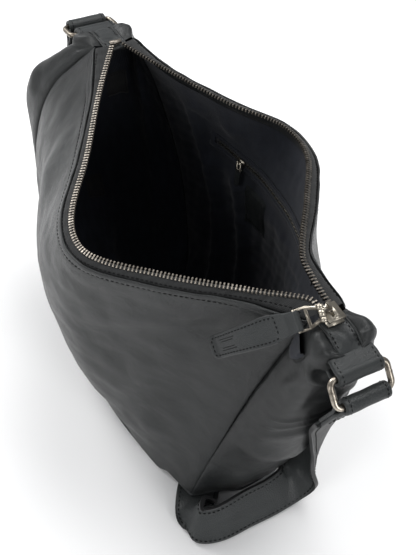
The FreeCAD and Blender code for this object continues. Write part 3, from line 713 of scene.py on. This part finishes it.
def lining_points(surface, u, v, seed, deep, calm=None):
    """The lining's near face; calm is the (u, v) zone, if any, that is held flat by what is sewn on it."""
    p = surface(u, v)
    fall = lining_relief(p, u, v, seed, deep) * smooth(nearer(u) / .05)
    if calm:
        (u0, u1), (v0, v1) = calm
        away = np.maximum(np.maximum(u0 - u, u - u1) / .06, np.maximum(v0 - v, v - v1) / .07)
        fall = fall * (.10 + .90 * smooth(away))
    clear = smooth(nearer(u) / .02)[..., None]
    way = unit(inward(p) - clear * normals(p, -inward(p)))
    return p + way * (LINING_IN + fall[..., None])


def lining_panel(name, surface, seed, deep, node, columns=150, rows=120, calm=None):
    u, v = grid(columns, rows, vs=(.02, .968))
    cloth = sheet(name, lining_points(surface, u, v, seed, deep, calm), LINING_CLOTH)
    place(cloth, node, finish="lining")


BACK_DEEP = [(.16, .08, .035, 9), (.27, .12, .03, 6)]
LEFT_DEEP = [(.86, -.1, .06, 9), (.64, -.25, .07, 6), (.30, .1, .08, 4)]
BACK_CALM = ((.22, .80), (.69, .80))


def lining():
    lining_panel("front_lining_cloth", front, 51, [(.30, .1, .05, 7), (.62, -.1, .06, 5)], "lining_front")
    lining_panel("back_lining_cloth", back, 57, BACK_DEEP, "lining_back", 190, 150, BACK_CALM)
    lining_panel("right_lining_cloth", right, 63, [(.5, .1, .1, 3)], "lining_gusset_right", 70)
    lining_panel("left_lining_cloth", left, 69, LEFT_DEEP, "lining_gusset_left", 90)
    u, v = grid(130, 90)
    p = bottom(u, v) * vec(.955, .93, 1)
    p[..., 2] = 6 + arch(p[..., 0], p[..., 1]) + 1.6 * (1 + ripple(p, 38, 71)) + .8 * ripple(p, 16, 72)
    p[..., 2] += 3 * np.exp(-np.minimum(nearer(u) * 225, nearer(v) * 120) / 7)
    place(sheet("floor_lining_cloth", p, LINING_CLOTH), "lining_base", finish="lining")


# ---- main zip
def tape_points(surface, chain):
    """Grid of the woven tape: sewn inside the rim, over the hem's inner side, to the root of the teeth."""
    u = np.linspace(.004, .996, 420)
    low, rim, root = surface(u, np.full_like(u, .955)), surface(u, np.ones_like(u)), spline(chain, u)
    inner = inset(low, TAPE_IN + .9)
    crest = inset(rim, TAPE_IN + .5) + UP * 1.3
    rows = np.array([inner, (inner + crest) / 2 + UP * .2, inset(rim, TAPE_IN + .1) - UP * 2, crest,
                     (crest + root) / 2 + UP * .5, root])
    return np.stack([spline(rows[:, j], even(17)) for j in range(len(u))], axis=1)


def tape(side, surface, chain):
    """A woven tape with its cord, and the row of stitches that holds it to the hem."""
    name, top = f"{side}_zip_tape", tape_points(surface, chain)
    cord = sweep(name + "_cord", top[-1], UP, rounded(1.9, 1.9, .94, 3), TAPE_CLOTH)
    ribbed = top + UP * (.12 * np.sin(along_grid(top, 1) / 1.6))[..., None]
    place(join(name, [sheet(name, ribbed, TAPE_CLOTH), cord]), f"zip_tape_{side}", finish="tape")
    line = top[10, 6:-6]
    up = unit(np.cross(np.gradient(line, axis=0), top[11, 6:-6] - line))
    sew(f"{side}_tape_stitching", line, up * np.sign(up[:, 2:3]), 3.2, 2.4, .36, finish="tape")


def tooth_template():
    """One cast tooth: x along the chain, y into the mouth, z up; a neck, a rounded head with a nib."""
    half = [(-1.2, .58), (.2, .62), (.9, .48), (1.4, .46), (1.9, .66), (2.4, .64), (2.85, .34)]
    outline = [(w, s) for s, w in half] + [(-w, s) for s, w in reversed(half)]
    middle = .9
    layers = [(-1.1, .82), (-.85, 1), (.85, 1), (1.1, .82)]
    points = [(w * size, middle + (s - middle) * size, z) for z, size in layers for w, s in outline]
    n = len(outline)
    faces = grid_faces(len(layers), n, closed=True)
    faces += [tuple(range(n))[::-1], tuple(range(3 * n, 4 * n))]
    return points, faces


def teeth(side, surface, chain):
    length = sum(math.dist(a, b) for a, b in zip(chain, chain[1:]))
    t = np.linspace(.006, .994, int(length / ZIP_PITCH))
    root = spline(chain, t)
    ahead, behind = spline(chain, np.minimum(t + 1e-3, 1)), spline(chain, np.maximum(t - 1e-3, 0))
    way = unit(ahead - behind)
    away = root - inset(surface(t, np.ones_like(t)), TAPE_IN)
    away[:, 2] = .35 * np.hypot(away[:, 0], away[:, 1]) * smooth((125 - root[:, 0]) / 30)
    across = square(away, way)
    up = np.cross(way, across)
    up = up * np.sign(up[:, 2:3])
    points, faces = tooth_template()
    chain_of_teeth = repeat(f"{side}_zip_teeth", points, faces, root, way, across, up, TOOTH_METAL, False)
    place(chain_of_teeth, f"zip_teeth_{side}", finish="metal")


def main_zip():
    for run in (("front", front, CHAIN_FRONT), ("back", back, CHAIN_BACK)):
        tape(*run)
        teeth(*run)


# ---- metal pieces with softened edges
def softened(name, node, body_name, material, edge):
    """A CAD metal part's shape with its sharp edges rounded over, standing for the node."""
    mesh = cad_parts[node].data.copy()
    mesh.materials.clear()
    work = bmesh.new()
    work.from_mesh(mesh)
    bmesh.ops.remove_doubles(work, verts=work.verts, dist=1e-6)
    bmesh.ops.dissolve_limit(work, angle_limit=math.radians(3), verts=work.verts, edges=work.edges)
    sharp = [e for e in work.edges if len(e.link_faces) == 2 and e.calc_face_angle(0) > math.radians(32)]
    bmesh.ops.bevel(work, geom=sharp, offset=edge * MM, segments=2, affect="EDGES", clamp_overlap=True)
    work.to_mesh(mesh)
    work.free()
    mesh.polygons.foreach_set("use_smooth", [True] * len(mesh.polygons))
    mesh.materials.append(material)
    place(add_object(name, mesh), node, body=body_name, finish="metal")


def hardware():
    softened("main_slider_metal", "zip_slider", "main_slider", ANTIQUE_BRIGHT, .3)
    softened("main_puller_metal", "zip_puller", "main_puller", ANTIQUE_BRIGHT, .35)
    softened("zip_stops_metal", "zip_end_stops", "bag", TOOTH_METAL, .3)
    for side in ("right", "left"):
        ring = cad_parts[f"ring_{side}"]
        ring.data.materials.clear()
        ring.data.materials.append(ANTIQUE)


# ---- leather pull on the main zip
PIVOT = vec(155, -8.8, 266.5)
HANG = unit(vec(-.499, -.499, -.709))
ACROSS = square(vec(-.66, .17, .73), HANG)
OUTWARD = np.cross(ACROSS, HANG)


def leaned(degrees):
    """The hanging direction turned outwards by an angle."""
    return HANG * math.cos(math.radians(degrees)) + OUTWARD * math.sin(math.radians(degrees))


PULLER_REACH, PULL_LENGTH, PULL_WIDTH, PULL_PLY = 16.2, 72, 19, .82
BAR = PIVOT + leaned(20) * PULLER_REACH
PULL_DIR = leaned(-3.5)
PULL_NORMAL = np.cross(ACROSS, PULL_DIR)
PULL_BODY = "leather_pull_body"


def pull_line(s, off, side=0):
    """Points s along the leather pull, off out of its middle surface and side across it."""
    share = np.clip((s - 2) / (PULL_LENGTH - 2), 0, 1)
    out = 4.5 * np.sin(math.pi * np.minimum(share * 1.1, 1)) + off
    return BAR + PULL_DIR * s[:, None] + PULL_NORMAL * out[:, None] + ACROSS * np.reshape(side, (-1, 1))


def pull_width(s):
    """The leather pull's width s along it, as a share of its full width."""
    share = np.clip(s / PULL_LENGTH, 0, 1)
    far = np.clip((PULL_LENGTH - s) / 5, 0, 1)
    width = (1 - .18 * smooth(share)) * (1 - .32 * smooth(1 - share / .3))
    return width * (.55 + .45 * np.sqrt(1 - (1 - far) ** 2))


def box_line(lo, hi, half, steps):
    """Points round the box from lo to hi, half to each side, with steps to an edge."""
    corners = vec((lo, -half), (hi, -half), (hi, half), (lo, half), (lo, -half))
    return np.concatenate([np.linspace(a, b, steps)[:-1] for a, b in zip(corners, corners[1:])])


def leather_pull():
    """A strip folded round the puller's bar and stitched to itself, with a plain frame of near-black lines:
    painted shade that stands for a deboss's grooves.
    """
    s = np.concatenate([PULL_LENGTH - vec(0, .6, 1.6), np.linspace(PULL_LENGTH - 3, 6, 60)])
    turn = np.radians(np.linspace(-70, -290, 15))[:, None]
    bend = BAR + PULL_DIR * (2.1 * np.cos(turn)) + PULL_NORMAL * (1.95 * np.sin(turn))
    path = np.concatenate([pull_line(s, -PULL_PLY), bend, pull_line(s[::-1], PULL_PLY)])
    width = np.concatenate([pull_width(s), np.full(len(turn), pull_width(6) * .92), pull_width(s[::-1])])
    strip("leather_pull_strip", path, ACROSS, (PULL_WIDTH, 1.5, .7), TRIM_LEATHER, "leather_pull",
          width=width, body=PULL_BODY)
    top = PULL_PLY + .76
    run = np.linspace(13, PULL_LENGTH - 3.2, 50)
    half = pull_width(run) * PULL_WIDTH / 2 - 2
    row = [pull_line(run, top, -half),
           pull_line(np.full(10, PULL_LENGTH - 2.6), top, np.linspace(-4.6, 4.6, 10)),
           pull_line(run, top, half)[::-1], pull_line(np.full(8, 13), top, np.linspace(4.2, -4.2, 8))]
    sew("leather_pull_stitching", np.concatenate(row), PULL_NORMAL, 3, 2.1, .38, body=PULL_BODY)
    # The frame's lines lie a hair proud of the face in near-black thread colour, with no groove cut: painted shade
    # of a debossed frame.
    deboss_shade_lines = []
    for gap in (0, 1.5):
        line = box_line(47 + gap, 62 - gap, 3.6 - gap, 12)
        deboss_shade_lines.append(sweep("mark", pull_line(line[:, 0], top - .1, line[:, 1]), ACROSS,
                           rounded(.55, .3, .14, 3), THREAD))
    place(join("leather_pull_deboss_shade", deboss_shade_lines), body=PULL_BODY)
    at = s[1:-9]
    for side, word in ((-1, "low"), (1, "high")):
        edge = pull_line(at, 0, side * (PULL_WIDTH / 2 * pull_width(at) - .35))
        strip(f"leather_pull_edge_{word}", edge, ACROSS, (1.1, 2.9, .5, 3), EDGE_PAINT, body=PULL_BODY)


# ---- ring tabs, strap ends and strap
LOOP_MID = 4.1  # a leather loop's middle surface to the ring bar's middle
LOOP_WIDTH = 33
RING_PITCH = 18
SIDES, FACES = ((-1, "front"), (1, "back")), ((-1, "in"), (1, "out"))
# each end's side, tab bar, ring tilt in degrees, strap tail direction, and where the tab's tongue starts
ENDS = {"right": (1, 187, -46, (-.35, 0, -.94), 154.5), "left": (-1, -193, -10, (-.12, 0, -.99), -149)}


def end_places(word):
    """An end's side, the tab's bar, the strap's bar, the strap tail's direction and the tongue's start."""
    side, x, tilt, tail, start = ENDS[word]
    bar, tilt = vec(x, 0, 244.5), math.radians(tilt)
    return side, bar, bar + vec(side * math.cos(tilt), 0, math.sin(tilt)) * RING_PITCH, unit(tail), start


def ring_tab(word):
    """A narrow tongue from the zip's end, and the wide padded loop round the ring that it runs into."""
    side, bar, _, _, start = end_places(word)
    name = f"ring_tab_{word}"

    def near_bar(*places):
        return [(bar[0] + side * x, 0, bar[2] + z) for x, z in places]
    arc = near_bar(*((LOOP_MID * math.cos(a), LOOP_MID * math.sin(a))
                     for a in np.radians(np.linspace(104, -112, 22))))
    loop = spline(near_bar((-9.5, 5.6), (-5, 4.9)) + arc + near_bar((-5, -3.6), (-8.5, -2)), even(80))
    strip(name + "_loop", loop, SIDEWAYS, (LOOP_WIDTH, 3, 1.3, 6), TRIM_LEATHER, name,
          width=1 - .03 * bump(even(80), 0, .1), wave=lambda p: .16 * ripple(p, 14, 81))
    _, across, normal = frames_of(loop, SIDEWAYS)
    outward = normal * np.sign(np.sum(normal * (loop - bar), axis=1))[:, None]
    for part, end in SIDES:
        line = (loop + across * part * 13.6 + outward * 1.5)[4:72]
        sew(f"{name}_stitching_{end}", line, outward[4:72], 3, 2.1, .34)
    zip_end = [(start, 0, 254.6), (start + side * 11, 0, 255)]
    path = spline(zip_end + near_bar((-14, 8.4), (-7, 4.1)), even(50))
    strip(name + "_tongue", path, SIDEWAYS, (2 * TONGUE_HALF, 2.2, .9), TRIM_LEATHER,
          wave=lambda p: .5 * ripple(p, 11, 83))
    for part, end in SIDES:
        piping = path + vec(0, part * (TONGUE_HALF + .5), .7)
        strip(f"{name}_piping_{end}", piping, SIDEWAYS, (2, 2, .98, 4), NAPPA)
        line = path[4:44] + vec(0, part * (TONGUE_HALF - 1.6), 1.15)
        sew(f"{name}_tongue_stitching_{end}", line, UP, 3, 2.1, .32)


def strap_end(word):
    """The strap's end folded round the ring and sewn back down on itself."""
    side, _, bar, tail, _ = end_places(word)
    ring = f"ring_{word}_body"
    out = np.cross(SIDEWAYS, tail)
    out = out * np.sign(out[0] * side)
    turn = np.radians(np.linspace(-38, 218, 17))[:, None]
    arc = bar + LOOP_MID * (np.cos(turn) * out - np.sin(turn) * tail)
    down = np.linspace(37, 10, 16)[:, None]
    ply = out * (1.35 + 1.2 * smooth((16 - down) / 6))
    path = np.concatenate([bar + tail * down + ply, arc, (bar + tail * down - ply)[::-1]])
    strip(f"strap_end_{word}_leather", spline(path, even(120)), SIDEWAYS, (LOOP_WIDTH, 2.6, 1.1, 5),
          STRAP_LEATHER, f"strap_end_{word}", wave=lambda p: .15 * ripple(p, 12, 91), body=ring)
    outward = unit(arc - bar)
    for part, end in SIDES:
        line = arc + SIDEWAYS * part * 13.4 + outward * 1.3
        sew(f"strap_loop_{word}_stitching_{end}", line, outward, 3, 2.1, .34, body=ring)
    line = box_line(10, 34.5, 13.2, 14)
    for face, end in FACES:
        points = bar + tail * line[:, :1] + SIDEWAYS * line[:, 1:] + out * face * 2.75
        sew(f"strap_end_{word}_stitching_{end}", points, out * face, 3.4, 2.4, .38, body=ring)


def strap_half(word, lo, hi, top, low):
    """One half of the strap: two glued layers, painted edges, topstitching; it runs between ring and bag."""
    stations = np.array([list(c) + list(9 * unit(a)) for c, a in STRAP_STATIONS])
    row = spline(stations, np.linspace(lo, hi, 260))
    middle = row[:, :3]
    _, across, normal = frames_of(middle, unit(row[:, 3:]))

    where = {"body": f"ring_{word}_body", "bend": (top, low)}
    for name, sign, material in (("outer", 1, STRAP_LEATHER), ("backing", -1, BACKING_LEATHER)):
        path = middle + normal * sign * (STRAP_GLUE / 2 + STRAP_LAYER / 2)
        strip(f"strap_{name}_{word}", path, across, (STRAP_WIDTH - .3, STRAP_LAYER, .75), material,
              f"strap_{name}", wave=lambda p: .22 * ripple(p, 30, 101) + .08 * ripple(p, 9, 102), **where)
    for edge, end in ((-1, "low"), (1, "high")):
        path = middle + across * edge * (STRAP_WIDTH / 2 - .35)
        strip(f"strap_edge_{end}_{word}", path, across, (1, 3.5, .49, 3), EDGE_PAINT, **where)
        for face, side in FACES:
            path = middle + across * edge * (STRAP_WIDTH / 2 - 3) + normal * face * (STRAP_LAYER + .12)
            sew(f"strap_stitching_{end}_{side}_{word}", path, normal * face, 3.8, 2.6, .42, **where)


def rings_and_strap():
    for word in ENDS:
        ring_tab(word)
        strap_end(word)
    strap_half("right", 0, STRAP_SPLIT, (185, 0, 196), (160, 21, 125))
    strap_half("left", STRAP_SPLIT, 1, (-214, 0, 200), (-190, 70, 135))


# ---- inside pocket
POCKET_V, POCKET_U, POCKET_DEPTH, POCKET_SLIDER_AT = .745, (.235, .785), 5.2, .2
POCKET_TEETH = 66


def pocket_line(share, out=0, up=0):
    """Points beside the pocket zip's middle line, and its along and inward directions."""
    share = np.asarray(share, float)

    def on_line(t):
        u = POCKET_U[0] + (POCKET_U[1] - POCKET_U[0]) * t
        return inset(back(u, np.full_like(u, POCKET_V)), POCKET_DEPTH)
    along = unit(on_line(share + .01) - on_line(share - .01))
    into = unit(np.cross(along, UP))
    return on_line(share) + into * out + UP * up, along, into


def pocket():
    """Two stitched lips, a narrow tape, fine teeth, slider with a small leather pull, and the pocket's bag."""
    share = np.linspace(-.035, 1.035, 120)
    lips = [sweep("lip", pocket_line(share, 0, up)[0], UP, rounded(5.4, 1.4, .65), LINING_CLOTH)
            for up in (5.6, -5.6)]
    for at in (-.018, 1.018):
        line = np.array([pocket_line(at, 0, up)[0] for up in np.linspace(-8, 8, 12)])
        lips.append(sweep("end", line, pocket_line(at)[1], rounded(5, 1.5, .7), LINING_CLOTH))
    place(join("pocket_lips", lips), "pocket_welt", finish="lining")
    for word, up in (("upper", 7.1), ("lower", -7.1), ("upper_inner", 3.9), ("lower_inner", -3.9)):
        line, _, into = pocket_line(share[4:-4], .78, up)
        sew(f"pocket_stitching_{word}", line, into, 2.8, 2.1, .2, finish="lining")
    tapes = [sweep("tape", pocket_line(share[5:-5], 0, up)[0], UP, rounded(2.6, .6, .25, 2), TAPE_CLOTH)
             for up in (1.9, -1.9)]
    place(join("pocket_zip_tape", tapes), "pocket_tape", finish="tape")
    teeth_at, along, into = pocket_line(np.linspace(.03, .97, POCKET_TEETH), .1)
    ups = np.where(np.arange(POCKET_TEETH) % 2 == 0, .55, -.55)[:, None] * UP
    points = [(x * half * 1.15, y * half * .9, z * .62) for half, z in ((.8, -.8), (.6, .9))
              for x, y in CORNERS]
    faces = [(0, 3, 2, 1), (4, 5, 6, 7)] + grid_faces(2, 4, closed=True)
    place(repeat("pocket_zip_teeth", points, faces, teeth_at + ups, along, np.cross(into, along), into,
                 ANTIQUE_BRIGHT, False), "pocket_teeth", finish="metal")
    for part in ("pocket_slider", "pocket_puller"):
        softened(part + "_metal", part, part + "_body", ANTIQUE_BRIGHT, .2)
    along = pocket_line(POCKET_SLIDER_AT)[1]
    line = np.array([pocket_line(POCKET_SLIDER_AT, 4.2, up)[0] for up in np.linspace(-6.3, -23, 20)])
    width = np.concatenate([[.72, .85], np.ones(15), [.95, .85, .6]])
    strip("pocket_pull_leather", line, along, (6.2, 1.6, .6), TRIM_LEATHER, "pocket_pull",
          width=width, body="pocket_puller_body")
    u, v = grid(50, 40, (.24, .72), (.28, .72))
    place(sheet("pocket_bag_cloth", inset(back(u, v), 2.5), LINING_CLOTH), "pocket_bag", finish="lining")


# ---- small pieces sewn on the lining
def patch(name, node, finish, material, thick, us, vs, *lining_of):
    """A piece sewn flat on the lining, with a turned edge and a stitched border."""
    p = lining_points(lining_of[0], *grid(30, 30, us, vs), *lining_of[1:])
    rows_in = np.minimum(np.arange(30), 29 - np.arange(30))
    edge = np.minimum(rows_in[None, :], rows_in[:, None])
    p = inset(p, (.2 + thick * np.minimum(edge / 2, 1))[..., None])
    place(sheet(name, p, material), node, finish=finish)
    loop = np.concatenate([p[3, 3:-3], p[3:-3, -4], p[-4, 3:-3][::-1], p[3:-3, 3][::-1]])
    sew(name + "_stitching", loop, inward(loop), 2.6, 2, .24, finish=finish)


def patches():
    patch("inside_leather_patch", "leather_patch", "leather", TRIM_LEATHER, 1.2, (.36, .46), (.50, .66),
          back, 57, BACK_DEEP, BACK_CALM)
    patch("side_label", "care_label", "lining", LABEL_CLOTH, .5, (.38, .48), (.34, .42), left, 69, LEFT_DEEP)
    patch("corner_cloth_patch", "corner_patch", "lining", LABEL_CLOTH, .8, (.60, .72), (.70, .80),
          left, 69, LEFT_DEEP)


body()
lining()
main_zip()
hardware()
leather_pull()
rings_and_strap()
pocket()
patches()


# ---- floor, light and camera
LIGHTS_AIM = (0, 0, .13)  # metres


def softbox(name, place_m, size, power):
    light = bpy.data.lights.new(name, "AREA")
    light.shape = "RECTANGLE"
    light.size, light.size_y = size
    light.energy = power
    lamp = add_object(name, light)
    lamp.location = place_m
    lamp.rotation_euler = (Vector(LIGHTS_AIM) - Vector(place_m)).to_track_quat("-Z", "Y").to_euler()


def studio():
    m = Nodes("pale_floor")
    m.set(Base_Color=m.blend(m.noise(3), (.90, .90, .90), (.93, .93, .93)), Roughness=.8,
          Specular_IOR_Level=.1)
    corners = [(x * 4000, y * 4000, 0) for x, y in CORNERS]
    make("studio_floor", corners, [(0, 1, 2, 3)], None, m.material)
    world = bpy.data.worlds.new("studio_world")
    scene.world = world
    world.use_nodes = True
    sky = world.node_tree.nodes["Background"].inputs
    sky["Color"].default_value = (.96, .97, 1, 1)
    sky["Strength"].default_value = .32
    softbox("key_light", (-1.1, -.5, 1.1), (.7, .9), 17)
    softbox("front_light", (.5, -1.5, .8), (.6, 1), 8)
    softbox("end_light", (1.5, .2, .6), (.5, .8), 8)
    softbox("top_light", (-.2, .6, 1.8), (1.5, 1), 26)


CAMERA_AT = (.3998, -.2563, .6689)  # metres
CAMERA_TURN = (57.3, 48.5, -5.9)  # azimuth, elevation and roll in degrees
LENS, LENS_SHIFT = 57.9, (.0218018, .0030631)


def camera():
    """Long lens from above the slider end, leaning slightly."""
    azimuth, elevation, roll = np.radians(CAMERA_TURN)
    ahead = vec(-math.sin(azimuth), math.cos(azimuth), -math.tan(elevation)) * math.cos(elevation)
    side = unit(np.cross(ahead, UP))
    down = np.cross(ahead, side)
    side, down = math.cos(roll) * side + math.sin(roll) * down, math.cos(roll) * down - math.sin(roll) * side
    turn = Matrix([[side[i], -down[i], -ahead[i]] for i in range(3)]).to_4x4()
    data = bpy.data.cameras.new("reference_camera")
    data.lens, data.sensor_width, data.sensor_fit = LENS, 36, "AUTO"
    data.shift_x, data.shift_y = LENS_SHIFT
    data.clip_start = .01
    lens = add_object("reference_camera", data)
    lens.matrix_world = Matrix.Translation(CAMERA_AT) @ turn
    scene.camera = lens


studio()
camera()
scene.view_settings.view_transform = "Standard"
